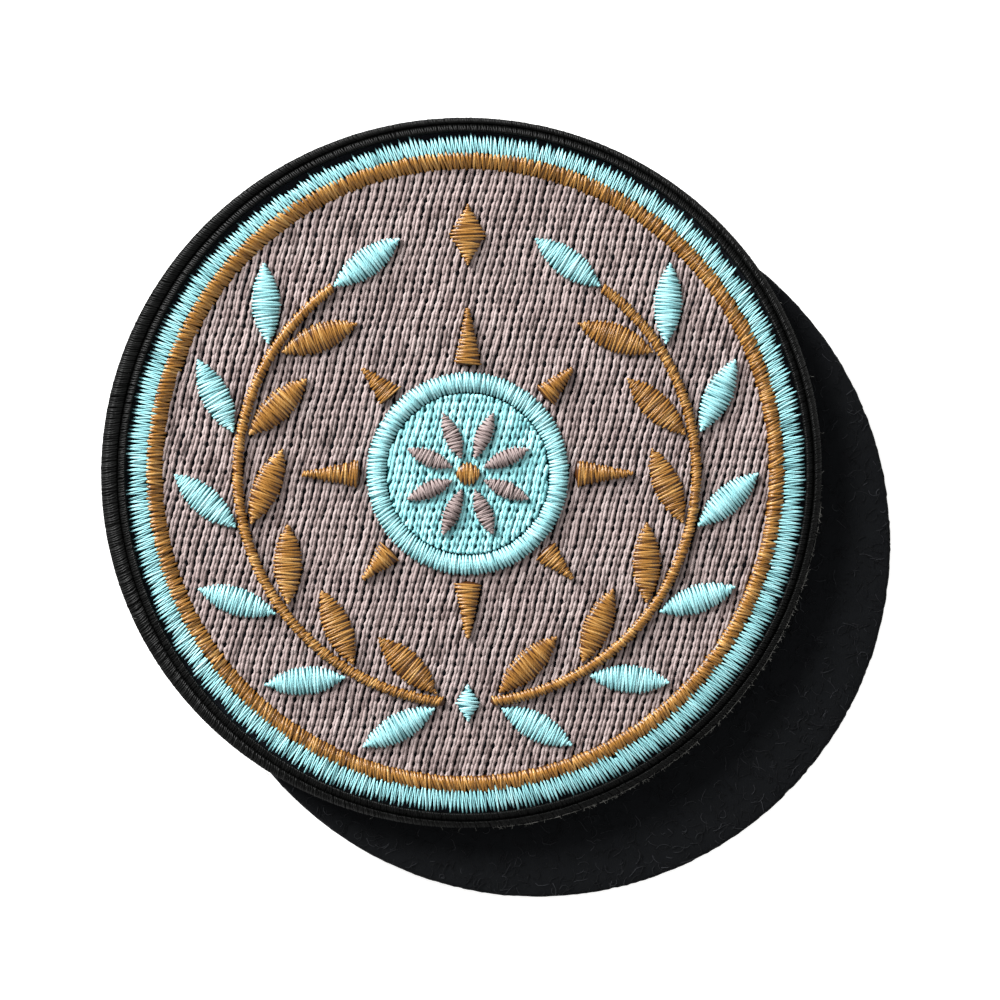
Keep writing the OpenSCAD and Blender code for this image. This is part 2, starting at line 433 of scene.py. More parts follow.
def sew(yarn, column, base, top, seed, pitch=SATIN_PITCH, jitter=0.05, slant=0.0,
        half_w=THREAD_HALF_WIDTH, half_h=THREAD_HALF_HEIGHT, ragged=0.04, crown=2.4, points=6,
        tip=0.55, inner_tip=None, blunt=3.0, lumps=0.03, reach=None, core_gap=0.14, crest=0.0,
        lift=(0.0, 0.0)):
    """Zigzag of thread over a satin shape that is highest at its crest, a share of the way across."""
    rng = np.random.default_rng(seed)
    ways = crossings(rng, column, pitch, jitter, ragged, slant, reach)
    start_x, end_x, start_side, start_out, end_out = ways
    t = (1 - np.cos(np.linspace(0, math.pi, points))) / 2
    x = start_x[:, None] + (end_x - start_x)[:, None] * t
    edge = column.half_width(x if column.closed else np.clip(x, 0, column.length))
    share = start_side[:, None] * (1 - 2 * t)
    out = start_out[:, None] * (1 - t) + end_out[:, None] * t
    inset = 0.3 * half_w
    flat = column.place(x, share * (edge + out - inset))
    rise = crowned(share, varied(column, crest, start_x)[:, None], crown, lift)
    height = top - half_h - base + rng.normal(0, lumps, len(x))[:, None]
    widest = column.half_width(np.array([column.length / 2])).max()
    thin = np.clip(edge / widest, 0.35, 1)
    foot = 0.6 * half_h
    z = base + foot + (height - foot) * rise * thin**0.5
    end_tip = np.where(share > 0, tip, tip if inner_tip is None else inner_tip)
    taper = end_tip + (1 - end_tip) * (1 - np.abs(share) ** blunt)
    tint = tints(rng, len(x))
    wide = half_w * rng.uniform(0.88, 1.12, len(x))[:, None]
    yarn.add(raised(flat, z), wide * taper, half_h * taper, tint)
    sew_core(yarn, column, base, top - 1.6 * half_h, core_gap, crest)


def sew_core(yarn, column, base, top, gap, crest):
    """The padding under a satin shape, so nothing shows through between its stitches; its darkest colour is
    painted shade in the gaps between them.
    """
    step = 1.2
    count = max(8, round(column.length / step))
    ends = 0.0 if column.closed else 0.12
    x = np.linspace(ends, column.length - ends, count)
    top_share = varied(column, crest, x)
    half = np.maximum(column.half_width(x) - gap, 0.04) * (1 - 0.5 * np.abs(top_share))
    path = raised(column.place(x, top_share * half), base)[None]
    tall = (top - base) * np.clip(half / half.max(), 0.3, 1) ** 0.5
    yarn.add(path, half[None], tall[None], [PAINTED_SHADE_TINT], sides=9, floor=base)


def cut_at_circle(middle, course, half, radius):
    """Middles and half lengths of the parts of straight stitches inside a circle round the patch."""
    away = middle - PATCH
    along = (away * course).sum(1)
    inside = radius**2 - (away**2).sum(1) + along**2
    root = np.sqrt(np.maximum(inside, 0))
    start = np.maximum(-half, -along - root)
    end = np.minimum(half, -along + root)
    length = np.where(inside > 0, np.maximum(end - start, 0), 0)
    return middle + course * ((start + end) / 2)[:, None], length / 2


def fill_axes(plan):
    """Unit vectors along a filling's threads and to their right."""
    lean = math.radians(plan["lean"])
    return np.array([math.sin(lean), math.cos(lean)]), np.array([math.cos(lean), -math.sin(lean)])


def fill_count(radius, plan):
    """Number of pairs of threads to either side of the patch's centre, with a few to spare."""
    return math.ceil(radius / plan["pair"]) + 3


def fill_threads(radius, plan, hidden):
    """Middles, half lengths, lines of holes and sides of the threads that no satin shape hides."""
    ahead, right = fill_axes(plan)
    count = fill_count(radius, plan)
    span = np.arange(-count, count + 1)
    pair, step, side = (g.ravel() for g in np.meshgrid(span, span, [-1, 1], indexing="ij"))
    line = pair + (side > 0)
    centre_hole = 2 * step + line % 2
    along = (centre_hole + line * plan["shift"]) * plan["hole"]
    across = (pair + 0.5 + side * 0.25) * plan["pair"]
    middle = PATCH + across[:, None] * right + along[:, None] * ahead
    middle, half = cut_at_circle(middle, ahead, plan["hole"] * 1.15, radius)
    spots = [middle + ahead * (half * end)[:, None] for end in (-1, 0, 1)]
    keep = half > SHORTEST_STITCH / 2
    for shape in hidden:
        keep &= ~np.all([shape.covers(spot, HIDDEN_MARGIN) for spot in spots], axis=0)
    return middle[keep], half[keep], line[keep], side[keep]


def fill_stitches(radius, top, plan, seed, hidden):
    """Paths, half sizes and tints of a disc of filling stitches, without those that satin shapes hide.

    Each thread's outer edge draws in beside the needle holes, which leaves a slot between two pairs."""
    rng = np.random.default_rng(seed)
    ahead, right = fill_axes(plan)
    middle, half, line, side = fill_threads(radius, plan, hidden)
    n = len(middle)
    t = np.linspace(-1, 1, 9)
    along = ((middle - PATCH) @ ahead)[:, None] + half[:, None] * t
    turn = along / plan["hole"] - (line * plan["shift"])[:, None] + rng.normal(0, 0.05, n)[:, None]
    count = fill_count(radius, plan)
    uneven = rng.normal(0, 0.35, (2 * count + 4, 6 * count))
    wave = plan["wave"] * (1 + uneven[line[:, None] + count, np.rint(turn).astype(int) + 3 * count])
    edge = plan["slot"] + wave * np.tanh(2.2 * np.cos(FULL_TURN * turn) + 0.9)
    inner = plan["pair"] / 2 + 0.07
    across = line[:, None] * plan["pair"] - side[:, None] * (inner + edge) / 2
    across += rng.normal(0, 0.8 * plan["rough"], n)[:, None]
    across += 0.06 * np.sin(along * 0.9 + 3 * np.sin(line * 0.21)[:, None])
    flat = PATCH + across[..., None] * right + along[..., None] * ahead
    hollow = 0.03 + 0.03 * np.cos(FULL_TURN * turn)
    z = top - plan["thick"] - hollow - plan["dip"] * np.abs(t) ** 6
    z = z + rng.normal(0, plan["rough"], n)[:, None]
    wide = (inner - edge) / 2 * (1 - 0.35 * np.abs(t) ** 8)
    return raised(flat, z), wide, np.full(wide.shape, plan["thick"]), tints(rng, n)


def add_node(tree, kind, inputs=None, **settings):
    """A node with its settings; each input is a value or another node's output."""
    made = tree.nodes.new(kind)
    for key, value in settings.items():
        setattr(made, key, value)
    for key, value in (inputs or {}).items():
        if isinstance(value, bpy.types.NodeSocket):
            tree.links.new(value, made.inputs[key])
        else:
            made.inputs[key].default_value = value
    return made


def maths(tree, operation, first, second=0.0, third=0.0):
    return add_node(tree, "ShaderNodeMath", {0: first, 1: second, 2: third}, operation=operation).outputs[0]


def plus(tree, first, second):
    return maths(tree, "ADD", first, second)


def times(tree, first, second, added=0.0):
    """The product of the first two, and the third added to it."""
    return maths(tree, "MULTIPLY_ADD", first, second, added)


def sine(tree, angle):
    return maths(tree, "SINE", angle)


def noise(tree, where, scale, detail, **more):
    inputs = {"Vector": where, "Scale": scale, "Detail": detail} | more
    return add_node(tree, "ShaderNodeTexNoise", inputs).outputs[0]


def opaque(colour):
    """A colour with its alpha; another node's output stays as it is."""
    return (*colour, 1) if isinstance(colour, tuple) else colour


def mix_colours(tree, share, first, second):
    """The first colour where share is 0, and the second where it is 1."""
    inputs = {0: share, 6: opaque(first), 7: opaque(second)}
    return add_node(tree, "ShaderNodeMix", inputs, data_type="RGBA").outputs[2]


def new_material(name, roughness, specular=0.5):
    """A material and its shader, whose fixed values stand on its own sockets."""
    made = bpy.data.materials.new(name)
    made.use_nodes = True
    shader = made.node_tree.nodes["Principled BSDF"]
    shader.inputs["Roughness"].default_value = roughness
    shader.inputs["Specular IOR Level"].default_value = specular
    return made, made.node_tree, shader


def finish_material(tree, shader, colour, height, distance):
    """Colour, and bump of this height; distance is in millimetres."""
    tree.links.new(colour, shader.inputs["Base Color"])
    inputs = {"Height": height, "Distance": distance * MM, "Strength": 0.6}
    tree.links.new(add_node(tree, "ShaderNodeBump", inputs).outputs[0], shader.inputs["Normal"])


def place_mm(tree):
    """Object coordinates in millimetres."""
    where = tree.nodes.new("ShaderNodeTexCoord").outputs["Object"]
    return add_node(tree, "ShaderNodeVectorMath", {0: where, "Scale": 1 / MM}, operation="SCALE").outputs[0]


def strand_fact(tree, name):
    return add_node(tree, "ShaderNodeAttribute", attribute_name=name).outputs["Fac"]


def thread_material(name, dark, mid, light, roughness, specular, bump=0.028):
    """Two-ply thread: helical plies, fine filaments and a shade of its own for each strand."""
    made, tree, shader = new_material(name, roughness, specular)
    run, turn, tint = (strand_fact(tree, fact) for fact in ("run", "turn", "tint"))
    phase = plus(tree, times(tree, run, 1 / PLY_LENGTH), turn)
    groove = maths(tree, "ABSOLUTE", sine(tree, times(tree, phase, FULL_TURN)))
    stretched = {0: times(tree, run, 1.2), 1: times(tree, phase, 14.0), 2: times(tree, tint, 90.0)}
    filaments = noise(tree, add_node(tree, "ShaderNodeCombineXYZ", stretched).outputs[0], 1.0, 2.0)
    patches = noise(tree, place_mm(tree), 0.5, 3.0)
    share = plus(tree, times(tree, tint, 0.55), times(tree, filaments, 0.45))
    share = plus(tree, share, times(tree, patches, 0.4, -0.2))
    # Shares below 0, from the padding's tint, clamp to the dark colour: painted shade
    low = mix_colours(tree, times(tree, share, 2.0), dark, mid)
    colour = mix_colours(tree, times(tree, share, 2.0, -1.0), low, light)
    height = plus(tree, times(tree, groove, 0.6), times(tree, filaments, 0.5))
    finish_material(tree, shader, colour, height, bump)
    return made


def cloth_material(name, dark, light, pitch, slope):
    """Woven or knitted cloth: ribs of this pitch, whose slope tells twill from plain weave."""
    made, tree, shader = new_material(name, roughness=0.8, specular=0.1)
    where = place_mm(tree)
    x, y, _ = add_node(tree, "ShaderNodeSeparateXYZ", {0: where}).outputs
    ribs = sine(tree, times(tree, plus(tree, x, times(tree, y, slope)), FULL_TURN / pitch))
    picks = sine(tree, times(tree, y, FULL_TURN / (pitch * 0.8)))
    weave = times(tree, times(tree, ribs, picks), 0.25, times(tree, ribs, 0.25, 0.5))
    share = plus(tree, times(tree, weave, 0.6), times(tree, noise(tree, where, 1.3, 4.0), 0.4))
    finish_material(tree, shader, mix_colours(tree, share, dark, light), share, 0.05)
    return made


def pile_material(name, dark, light):
    """Matted fibres: blotches and streaks in many directions."""
    made, tree, shader = new_material(name, roughness=0.85, specular=0.08)
    where = place_mm(tree)
    clumps = noise(tree, where, 0.55, 5.0, Roughness=0.65)
    fuzz = noise(tree, where, 5.0, 4.0, Distortion=1.8)
    share = plus(tree, times(tree, clumps, 0.6), times(tree, fuzz, 0.8, -0.2))
    finish_material(tree, shader, mix_colours(tree, share, dark, light), fuzz, 0.15)
    return made


def moulded_material(name, dark, light):
    """Moulded nylon with faint flow marks."""
    made, tree, shader = new_material(name, roughness=0.4, specular=0.3)
    marks = noise(tree, place_mm(tree), 2.5, 3.0)
    finish_material(tree, shader, mix_colours(tree, marks, dark, light), marks, 0.02)
    return made


TAUPE = thread_material("taupe_thread", (0.03, 0.016, 0.014), (0.275, 0.215, 0.206),
                        (0.35, 0.295, 0.284), roughness=0.55, specular=0.1)
COPPER = thread_material("copper_thread", (0.045, 0.013, 0.001), (0.262, 0.115, 0.018),
                         (0.57, 0.345, 0.12), roughness=0.34, specular=0.4)
CYAN = thread_material("cyan_thread", (0.01, 0.08, 0.09), (0.29, 0.61, 0.64),
                       (0.47, 0.73, 0.75), roughness=0.42, specular=0.4)
CYAN_FLAT = thread_material("cyan_filling", (0.006, 0.075, 0.085), (0.26, 0.61, 0.64),
                            (0.4, 0.71, 0.73), roughness=0.5, specular=0.12)
BLACK = thread_material("border_thread", (0.0012, 0.0012, 0.0012), (0.0026, 0.0027, 0.0026),
                        (0.007, 0.0071, 0.007), roughness=0.38, specular=0.085, bump=0.008)
# Pale grey for stray hairs and, on the loose thread and its ticks, painted highlight of the black border's
# outer edge
FUZZ_AND_HIGHLIGHT = thread_material("edge_fuzz_and_highlight", (0.01, 0.01, 0.009), (0.19, 0.19, 0.175),
                       (0.5, 0.49, 0.46), roughness=0.6, specular=0.2)
FIBRE = thread_material("pile_fibre", (0.003, 0.0032, 0.0035), (0.009, 0.0096, 0.0108),
                        (0.05, 0.052, 0.058), roughness=0.7, specular=0.1)
BLACK_CORE = cloth_material("border_core", (0.001, 0.001, 0.001), (0.003, 0.003, 0.003), 0.4, 0.0)
TWILL = cloth_material("twill", (0.003, 0.004, 0.006), (0.009, 0.01, 0.014), 0.5, 1.0)
TAPE = cloth_material("hook_tape", (0.004, 0.004, 0.005), (0.014, 0.014, 0.016), 0.6, 0.0)
KNIT = cloth_material("loop_ground", (0.004, 0.004, 0.005), (0.014, 0.014, 0.017), 0.8, 0.0)
PILE = pile_material("loop_pile", (0.0028, 0.0031, 0.0036), (0.0062, 0.007, 0.0082))
HOOKS = moulded_material("hooks", (0.006, 0.006, 0.007), (0.015, 0.015, 0.017))


def arc_half_width(length, width):
    """Half width of an outline that two arcs bound, at x along it."""
    arc_r = (length**2 + width**2) / (4 * width)
    return lambda x: np.sqrt(arc_r**2 - (x - length / 2) ** 2) - arc_r + width / 2


def lozenge_half_width(length, width):
    return lambda x: np.maximum(width / 2 * (1 - np.abs(2 * x / length - 1)), 0.05)


def ray_half_width(length, width):
    tip_share = 0.16
    return lambda x: width / 2 * (1 - (1 - tip_share) * x / length)


def round_half_width(length):
    return lambda x: np.sqrt(np.maximum((length / 2) ** 2 - (x - length / 2) ** 2, 0.01))


def fitted(foot, tip, spots, half_width_of):
    """Straight satin shape from foot to tip, as wide as these spots of a CAD node."""
    shape = Straight(foot, tip, None)
    shape.half_width = half_width_of(shape.length, 2 * np.abs(shape.local(spots)[1]).max())
    return shape


def pointed(node, half_width_of):
    """Satin shape of a CAD node whose two ends are its vertices farthest apart."""
    spots = corners(node)[:, :2]
    gaps = np.linalg.norm(spots[:, None] - spots[None], axis=-1)
    one, two = np.unravel_index(gaps.argmax(), gaps.shape)
    foot, tip = sorted((spots[one], spots[two]), key=lambda p: np.linalg.norm(p - PATCH))
    return fitted(foot, tip, spots, half_width_of)


def radial(node, half_width_of):
    """Satin shape of a CAD node that points away from the patch's centre."""
    spots = corners(node)[:, :2]
    away = spots - PATCH
    ahead = unit((away.min(0) + away.max(0)) / 2)
    reach = away @ ahead
    return fitted(PATCH + ahead * reach.min(), PATCH + ahead * reach.max(), spots, half_width_of)


def round_band(node, inner, outset=0.0):
    """Closed satin ring from this inner radius to a CAD node's outer one, and this much farther."""
    outer = extent(node)[1] + outset
    return Bent((inner + outer) / 2, 0.0, FULL_TURN, outer - inner)


def stem_shape(side):
    """Satin arc of a wreath's stem, with its angles taken from the node's ends."""
    spots = corners(f"stem_{side}")[:, :2] - PATCH
    radii = np.linalg.norm(spots, axis=1)
    mirror = 1 if side == "right" else -1
    angles = np.arctan2(spots[:, 1], spots[:, 0] * mirror)
    start, end = angles.min(), angles.max()
    if mirror < 0:
        start, end = math.pi - start, math.pi - end
    return Bent((radii.min() + radii.max()) / 2, start, end, radii.max() - radii.min())


def button_shape():
    centre, radius, _, _ = extent("sun_button")
    reach = np.array([radius, 0.0])
    return Straight(centre - reach, centre + reach, round_half_width(2 * radius))


def nodes_named(start):
    return sorted(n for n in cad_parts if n.startswith(start))


def leaf_shapes(row):
    return {n: pointed(n, arc_half_width) for n in nodes_named("leaf_") if f"_{row}" in n}


def emblem_shapes():
    """Satin shapes of the sun and the wreath, by kind and then by CAD node."""
    return {
        "outer": leaf_shapes("outer"),
        "tips": leaf_shapes("tip"),
        "inner": leaf_shapes("inner"),
        "stems": {f"stem_{side}": stem_shape(side) for side in ("right", "left")},
        "rays": {n: radial(n, ray_half_width) for n in nodes_named("sun_ray")},
        "rim": {"sun_rim": round_band("sun_rim", DISC_R + 0.05)},
        "petals": {n: radial(n, arc_half_width) for n in nodes_named("sun_petal")},
        "button": {"sun_button": button_shape()},
        "lozenge_top": {"lozenge_top": pointed("lozenge_top", lozenge_half_width)},
        "lozenge_foot": {"lozenge_foot": pointed("lozenge_foot", lozenge_half_width)},
    }


def sewn_piece(name, shapes, base, material, slot, seed, **style):
    """One piece of satin stitches over the shapes of these nodes."""
    yarn = Yarn()
    for number, (node, shape) in enumerate(shapes.items()):
        sew(yarn, shape, base, corners(node)[:, 2].max(), seed + number, **style)
    yarn.piece(name, material, slot, tuple(shapes))


def make_emblem(shapes):
    """The sun and the wreath, with one piece for each kind of shape."""
    leaves = shapes["outer"] | shapes["tips"]
    sewn_piece("outer_leaves", leaves, FILL_Z, CYAN, "cyan_thread", 100)
    sewn_piece("inner_leaves", shapes["inner"], FILL_Z, COPPER, "copper_thread", 200, jitter=0.07)
    sewn_piece("stems", shapes["stems"], FILL_Z, COPPER, "copper_thread", 300, jitter=0.07, slant=0.35)
    sewn_piece("sun_rays", shapes["rays"], FILL_Z, COPPER, "copper_thread", 400, jitter=0.07)
    sewn_piece("rim_stitches", shapes["rim"], FILL_Z, CYAN, "cyan_thread", 500, slant=0.2)
    sewn_piece("sun_petals", shapes["petals"], DISC_Z, TAUPE, "taupe_thread", 600)
    sewn_piece("button_stitches", shapes["button"], DISC_Z, COPPER, "copper_thread", 700)
    sewn_piece("top_lozenge", shapes["lozenge_top"], FILL_Z, COPPER, "copper_thread", 800)
    sewn_piece("foot_lozenge", shapes["lozenge_foot"], FILL_Z, CYAN, "cyan_thread", 850)


def make_fill(shapes):
    """The taupe filling in two pieces, left out under the satin shapes and the sun, and the sun's own."""
    groups = ("outer", "tips", "inner", "stems", "rays", "lozenge_top", "lozenge_foot")
    hidden = [shape for group in groups for shape in shapes[group].values()]
    paths, wide, tall, tint = fill_stitches(FILL_R + 0.15, FILL_Z, TAUPE_FILL, 11, hidden)
    sun_cover = DISC_R + 2.2
    open_to_view = np.linalg.norm(paths[..., :2] - PATCH, axis=-1).max(1) >= sun_cover
    upper = paths[:, 4, 1] > PATCH[1]
    for name, half in (("fill_upper", upper), ("fill_lower", ~upper)):
        mask = half & open_to_view
        yarn = Yarn()
        yarn.add(paths[mask], wide[mask], tall[mask], tint[mask], sides=4)
        yarn.piece(name, TAUPE, "taupe_thread", ("ground_fill",))
    yarn = Yarn()
    yarn.add(*fill_stitches(DISC_R, DISC_Z, CYAN_FILL, 12, shapes["petals"].values()), sides=4)
    add_underlay(yarn, DISC_R, DISC_Z - UNDERLAY_DEPTH, CYAN_FILL)
    yarn.piece("disc_stitches", CYAN_FLAT, "cyan_thread", ("sun_disc",))


def add_underlay(yarn, radius, level, plan):
    """Wide strands across the filling's rows, which close the ground between them; their darkest colour is
    painted shade in the needle holes.
    """
    ahead, right = fill_axes(plan)
    up = np.arange(-radius + UNDERLAY_PITCH, radius - UNDERLAY_PITCH / 2, UNDERLAY_PITCH)
    across = np.sqrt(radius**2 - up**2)[:, None] * np.linspace(-1, 1, 5)
    flat = PATCH + up[:, None, None] * ahead + across[..., None] * right
    yarn.add(raised(flat, level), 0.27, 0.12, np.full(len(up), PAINTED_SHADE_TINT))


def cyan_slant(column, x):
    """Shift of the outer needle points: the stitches lean, more so in four places round the ring."""
    lean = np.radians(7 + 6 * np.sin(4 * column.angle(x)))
    return np.tan(lean) * 2 * column.half_width(x)


def copper_slant(column, x):
    """The copper thread leans to either side by turns, as the machine pulls it."""
    angle = column.angle(x)
    lean = np.radians(9 + 8 * np.sin(3 * angle + 1.0) + 6 * np.sin(11 * angle + 2.0))
    return np.tan(lean) * 2 * column.half_width(x)


def copper_crest(column, x):
    """The copper ring is highest outside its middle at the upper left, inside it at the lower right."""
    return 0.12 + 0.6 * np.cos(column.angle(x) - math.radians(135))


def copper_reach(angle):
    """How far the copper stitches end from their band's edge: longer towards the upper left."""
    return 0.06 + 0.12 * np.cos(angle - math.radians(135))


def make_rings():
    """The copper satin ring, and the cyan one whose stitches end in teeth."""
    copper = round_band("copper_ring", FILL_R, 0.1)
    yarn = Yarn()
    sew(yarn, copper, FACE_Z, COPPER_TOP, 21, jitter=0.07, slant=copper_slant, crown=1.5,
        half_w=0.146, half_h=0.1, lumps=0.055, tip=0.85, points=7, reach=copper_reach,
        core_gap=0.05, crest=copper_crest, lift=(0.25, 0.62))
    yarn.piece("copper_stitches", COPPER, "copper_thread", ("copper_ring",))
    cyan = round_band("cyan_ring", COPPER_OUT - 0.3)
    yarn = Yarn()
    sew(yarn, cyan, FACE_Z, CYAN_TOP, 22, pitch=RING_PITCH, jitter=0.045, slant=cyan_slant, half_w=0.1,
        ragged=0.2, crown=7.0, tip=0.22, inner_tip=0.85, blunt=2.6, points=7, reach=tooth_reach,
        core_gap=0.6, crest=-0.2, lift=(0.82, 0.0))
    yarn.piece("cyan_teeth", CYAN, "cyan_thread", ("cyan_ring",))


def roll_shift(radius, angle):
    """The oval reach of the border, all of it at its edge and none of it on its inner row."""
    return border_reach(angle) * np.clip((radius - BORDER_R + 0.75) / 0.5, 0, 1)


def over(rows):
    """(radius, z) points from rows of how far in from the border's edge and below its top they lie."""
    return [(EDGE_R - inward, BORDER_TOP - below) for inward, below in rows]


def under(rows):
    """The same from rows of how far in from its edge and above its underside they lie."""
    return [(EDGE_R - inward, WRAP_Z + above) for inward, above in rows]


def wrapped_piece(rng, name, profile, radius, drift, bulge):
    """One row of the border: strands side by side, each along this profile of (radius, z) points."""
    count = round(FULL_TURN * radius / WRAP_PITCH)
    angles = np.arange(count) / count * FULL_TURN + rng.normal(0, WRAP_JITTER / radius, count)
    drift = rng.normal(drift, 0.05, count)[:, None]
    outset = rng.normal(0, bulge, count)[:, None]
    tint = tints(rng, count, 0.2)
    profile = np.asarray(profile)
    t = np.linspace(0, 1, len(profile))
    wobble = 0.05 * np.sin(angles[:, None] * 211 + t * 17)
    turn = angles[:, None] + (drift * t + wobble) / BORDER_R
    away = unit(profile - profile.mean(0))
    radius = profile[:, 0] + outset * away[:, 0]
    z = profile[:, 1] + outset * away[:, 1]
    radius = radius + roll_shift(radius, turn)
    flat = PATCH + radius[..., None] * compass(turn)
    side = np.stack([-np.sin(turn), np.cos(turn), np.zeros_like(turn)], axis=-1)
    yarn = Yarn()
    yarn.add(raised(flat, z), WRAP_HALF_WIDTH, WRAP_HALF_HEIGHT, tint, 4, side)
    yarn.piece(name, BLACK, "border_thread", ("merrowed_border",))


def make_border():
    """Overlocked edge: a broad outer roll, a groove and a raised inner row of strands, round a core."""
    rng = np.random.default_rng(31)
    wrapped_piece(rng, "border_roll", over(ROLL_OVER) + under(ROLL_UNDER), BORDER_R, 0.9, 0.01)
    ridge = [(EDGE_R - RIDGE_FOOT, FACE_Z - 0.05)] + over(RIDGE_OVER)
    wrapped_piece(rng, "border_ridge", ridge, BORDER_R - RIDGE_MIDDLE, 0.3, 0.008)
    inner = CLOTH_R + 0.02
    wall = [(inner, WRAP_Z + 0.22), (inner, FACE_Z + 0.1)]
    points, faces = lathe(np.array(wall + over(CORE_OVER) + under(CORE_UNDER)), CORE_SEGMENTS)
    mesh_piece("border_core", points, [faces], BLACK_CORE, ("merrowed_border",))


def lathe(section, segments):
    """Points and faces of a ring round the patch's centre with this closed section of (radius, z)."""
    angle = np.arange(segments) / segments * FULL_TURN
    radius = section[:, 0] + roll_shift(section[:, 0], angle[:, None])
    points = raised(PATCH + radius[..., None] * compass(angle)[:, None], section[:, 1])
    k = len(section)
    one, two = grid(segments, k)
    next_one = (one + 1) % segments
    next_two = (two + 1) % k
    loop = [(one, two), (one, next_two), (next_one, next_two), (next_one, two)]
    faces = np.stack([i * k + j for i, j in loop], axis=-1)
    return points.reshape(-1, 3), faces.reshape(-1, 4)


def cloth_disc(name, centre, radius, bottom, top, material, node, ribs=0):
    """Round cloth as a closed solid, with ribs pressed into its underside."""
    if ribs:
        y = np.linspace(-radius, radius, 4 * ribs + 1)
    else:
        y = -np.cos(np.linspace(0, math.pi, CLOTH_ROWS)) * radius
    half = np.sqrt(np.maximum(radius**2 - y**2, 0))
    half[[0, -1]] = half[1] * 0.2
    x = half[:, None] * np.sin(np.linspace(-0.5, 0.5, CLOTH_COLUMNS) * math.pi)
    flat = np.stack([x, np.broadcast_to(y[:, None], x.shape)], axis=-1) + centre
    pressed = np.zeros(x.shape)
    depth = RIB_DEPTH * (0.5 - 0.5 * np.cos(y * FULL_TURN * ribs / (2 * radius)))
    pressed[1:-1, 1:-1] = depth[1:-1, None]
    points = np.concatenate([raised(flat, z).reshape(-1, 3) for z in (bottom + pressed, top)])
    return mesh_piece(name, points, sheet_faces(*x.shape), material, (node,), smooth=False)


def sheet_faces(rows, columns):
    """Faces under, over and round a sheet of two grids of points."""
    size = rows * columns
    i, j = grid(rows - 1, columns - 1)
    a = (i * columns + j).ravel()
    under_side = np.stack([a, a + columns, a + columns + 1, a + 1], axis=-1)
    rim = np.concatenate([
        np.arange(columns),
        (np.arange(1, rows) + 1) * columns - 1,
        size - 2 - np.arange(columns - 1),
        (rows - 2 - np.arange(rows - 2)) * columns,
    ])
    after = np.roll(rim, -1)
    wall = np.stack([rim, after, size + after, size + rim], axis=-1)
    return [under_side, size + under_side[:, ::-1], wall]


def make_cloths():
    """The loop disc's knitted ground, the hook tape and the twill."""
    ground = cloth_disc("loop_knit", np.zeros(2), LOOP_R, 0.0, GROUND_TOP, KNIT,
                        "loop_ground", KNIT_RIBS)
    tape = cloth_disc("tape_cloth", PATCH, CLOTH_R, TAPE_Z, TWILL_Z, TAPE, "hook_tape")
    twill = cloth_disc("twill_cloth", PATCH, CLOTH_R, TWILL_Z, FACE_Z, TWILL, "twill_base")
    return ground, tape, twill


def make_pile():
    """Brushed loops: a lumpy bed with a ragged cut edge, and curly fibres on it."""
    rng = np.random.default_rng(41)
    inner = np.linspace(0, LOOP_R - 0.5, 26)[1:]
    radii = np.concatenate([inner, LOOP_R - np.array([0.22, 0.05, 0.02])])
    bed_top = PILE_TOP - BED_SINK
    level = np.append(np.full(len(inner), bed_top), [PILE_TOP - 0.24, PILE_TOP - 0.5, GROUND_TOP])
    nicked = rng.normal(0, 0.025, BED_SEGMENTS) - 0.14 * (rng.random(BED_SEGMENTS) < 0.04)
    radius = radii[:, None] + nicked * (radii[:, None] > LOOP_R - 0.3)
    bumps = rng.normal(0, 0.03, (len(radii), BED_SEGMENTS))
    bumps[-1] = 0
    angle = np.arange(BED_SEGMENTS) / BED_SEGMENTS * FULL_TURN
    rings = raised(radius[..., None] * compass(angle), level[:, None] + bumps).reshape(-1, 3)
    points = np.concatenate([rings, [[0, 0, bed_top], [0, 0, GROUND_TOP]]])
    faces = tube_faces(len(radii), BED_SEGMENTS)
    mesh_piece("pile_bed", points, faces, PILE, ("loop_pile",))
    make_pile_fibres(rng)


def make_pile_fibres(rng):
    """Curly fibres where the patch leaves the pile bare."""
    where = rng.uniform(-LOOP_R, LOOP_R, (FIBRE_TRIES, 2))
    on_disc = np.linalg.norm(where, axis=1) < LOOP_R - 0.4
    bare = on_disc & (np.linalg.norm(where - PATCH, axis=1) > BORDER_R - 1.5)
    where = where[bare][:FIBRE_COUNT]
    n = len(where)
    steps = 5
    length = rng.uniform(0.5, 1.9, n)
    bend = rng.normal(0, 1.6, n)[:, None] + rng.normal(0, 0.8, (n, steps))
    heading = rng.uniform(0, FULL_TURN, n)[:, None] + np.cumsum(bend * length[:, None] / steps, axis=1)
    step = (length / (steps - 1))[:, None, None] * compass(heading)
    flat = where[:, None] + np.cumsum(step, axis=1) - step.mean(1, keepdims=True) * steps / 2
    far = np.linalg.norm(flat, axis=-1)
    flat = flat * np.minimum(1, (LOOP_R - 0.12) / far)[..., None]
    rise = rng.uniform(0.0, 0.1, n)[:, None] * np.sin(math.pi * np.linspace(0, 1, steps)) ** 0.8
    past_rim = np.clip(np.linalg.norm(flat, axis=-1) - LOOP_R + 0.5, 0, None)
    z = PILE_TOP - 0.14 + rise - 0.12 * past_rim
    tint = rng.random(n) ** 2
    wide = rng.uniform(0.02, 0.04, n)[:, None]
    yarn = Yarn()
    yarn.add(raised(flat, z), wide, 0.025, tint, sides=4)
    yarn.piece("pile_fibres", FIBRE, "loop_pile", ("loop_pile",))


